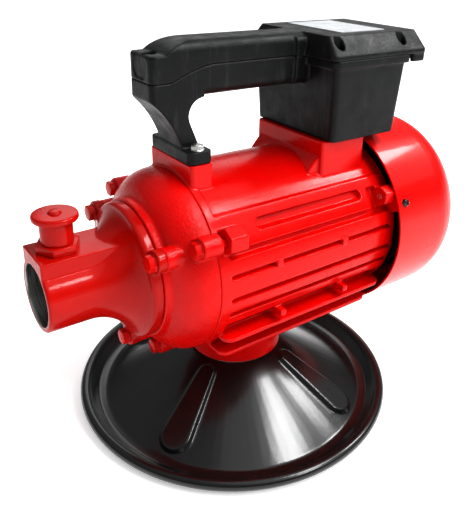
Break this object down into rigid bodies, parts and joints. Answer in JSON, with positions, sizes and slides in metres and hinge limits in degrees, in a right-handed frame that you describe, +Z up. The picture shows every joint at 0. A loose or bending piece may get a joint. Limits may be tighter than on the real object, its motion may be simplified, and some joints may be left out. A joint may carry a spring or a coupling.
{
  "type": "concrete vibrator drive motor",
  "caption": "Electric drive motor with a hose coupling socket, carrying handle and switch box, turning on a round dished base.",
  "frame": {"origin": "centre of the base dish at the floor, on the swivel axis", "axes": "+Z up along the swivel axis; X along the motor shaft, -X out of the coupling socket, +X towards the fan; the side with the small nameplate bosses faces -Y"},
  "size_m": [0.3458, 0.256, 0.2905],
  "materials": {
    "black_paint": "gloss",
    "red_paint": "gloss",
    "nose_paint": "gloss",
    "bolt_paint": "satin",
    "zinc_steel": "satin",
    "machined_steel": "satin",
    "bronze": "satin",
    "nylon": "satin",
    "lamination": "matte",
    "copper": "gloss",
    "rotor_alloy": "satin",
    "fan_plastic": "matte",
    "box_plastic": "satin",
    "rubber": "matte",
    "label": "satin",
    "rocker": "gloss",
    "terminal": "satin",
    "capacitor": "satin"
  },
  "bodies": {
    "base": {"base_dish": "black_paint", "pivot_bushing": "bronze", "swivel_washer": "nylon"},
    "motor": {"pivot_bolt": "zinc_steel", "pivot_washer": "zinc_steel", "pivot_nut": "zinc_steel", "motor_housing": "red_paint", "stator_core": "lamination", "stator_windings": "copper", "front_end_shield": "red_paint", "front_shield_bolts": "bolt_paint", "front_bearing": "machined_steel", "shaft_seal": "rubber", "rear_end_shield": "red_paint", "rear_shield_bolts": "zinc_steel", "rear_bearing": "machined_steel", "fan_cover": "red_paint", "fan_cover_screws": "zinc_steel", "coupling_housing": "nose_paint", "coupling_bolts": "bolt_paint", "lock_guide": "nose_paint", "lock_spring": "zinc_steel", "switch_box": "box_plastic", "box_screws": "zinc_steel", "handle_foot_screws": "zinc_steel", "box_lid": "box_plastic", "lid_gasket": "rubber", "lid_screws": "zinc_steel", "handle_end_screw": "zinc_steel", "label_plate": "label", "switch_body": "box_plastic", "terminal_block": "terminal", "capacitor": "capacitor", "cable_gland": "box_plastic"},
    "rotor": {"motor_shaft": "machined_steel", "rotor_core": "rotor_alloy", "cooling_fan": "fan_plastic", "drive_coupling": "machined_steel"},
    "lock": {"lock_pin": "machined_steel", "lock_knob": "nose_paint"},
    "rocker": {"switch_rocker": "rocker"}
  },
  "joints": [
    {"name": "motor_swivel", "type": "hinge", "parent": "base", "child": "motor", "pos_m": [0, 0, 0.042], "axis": [0, 0, 1], "continuous": true},
    {"name": "shaft_spin", "type": "hinge", "parent": "motor", "child": "rotor", "pos_m": [0, 0, 0.134], "axis": [1, 0, 0], "continuous": true},
    {"name": "lock_pull", "type": "slide", "parent": "motor", "child": "lock", "axis": [0, 0, 1], "range_m": [0, 0.006], "stiffness_N_per_m": 600, "springref_m": -0.006, "deforming": ["lock_spring"]},
    {"name": "switch_rock", "type": "hinge", "parent": "motor", "child": "rocker", "pos_m": [0.117, 0, 0.2435], "axis": [0, 1, 0], "range_deg": [0, 16]}
  ]
}
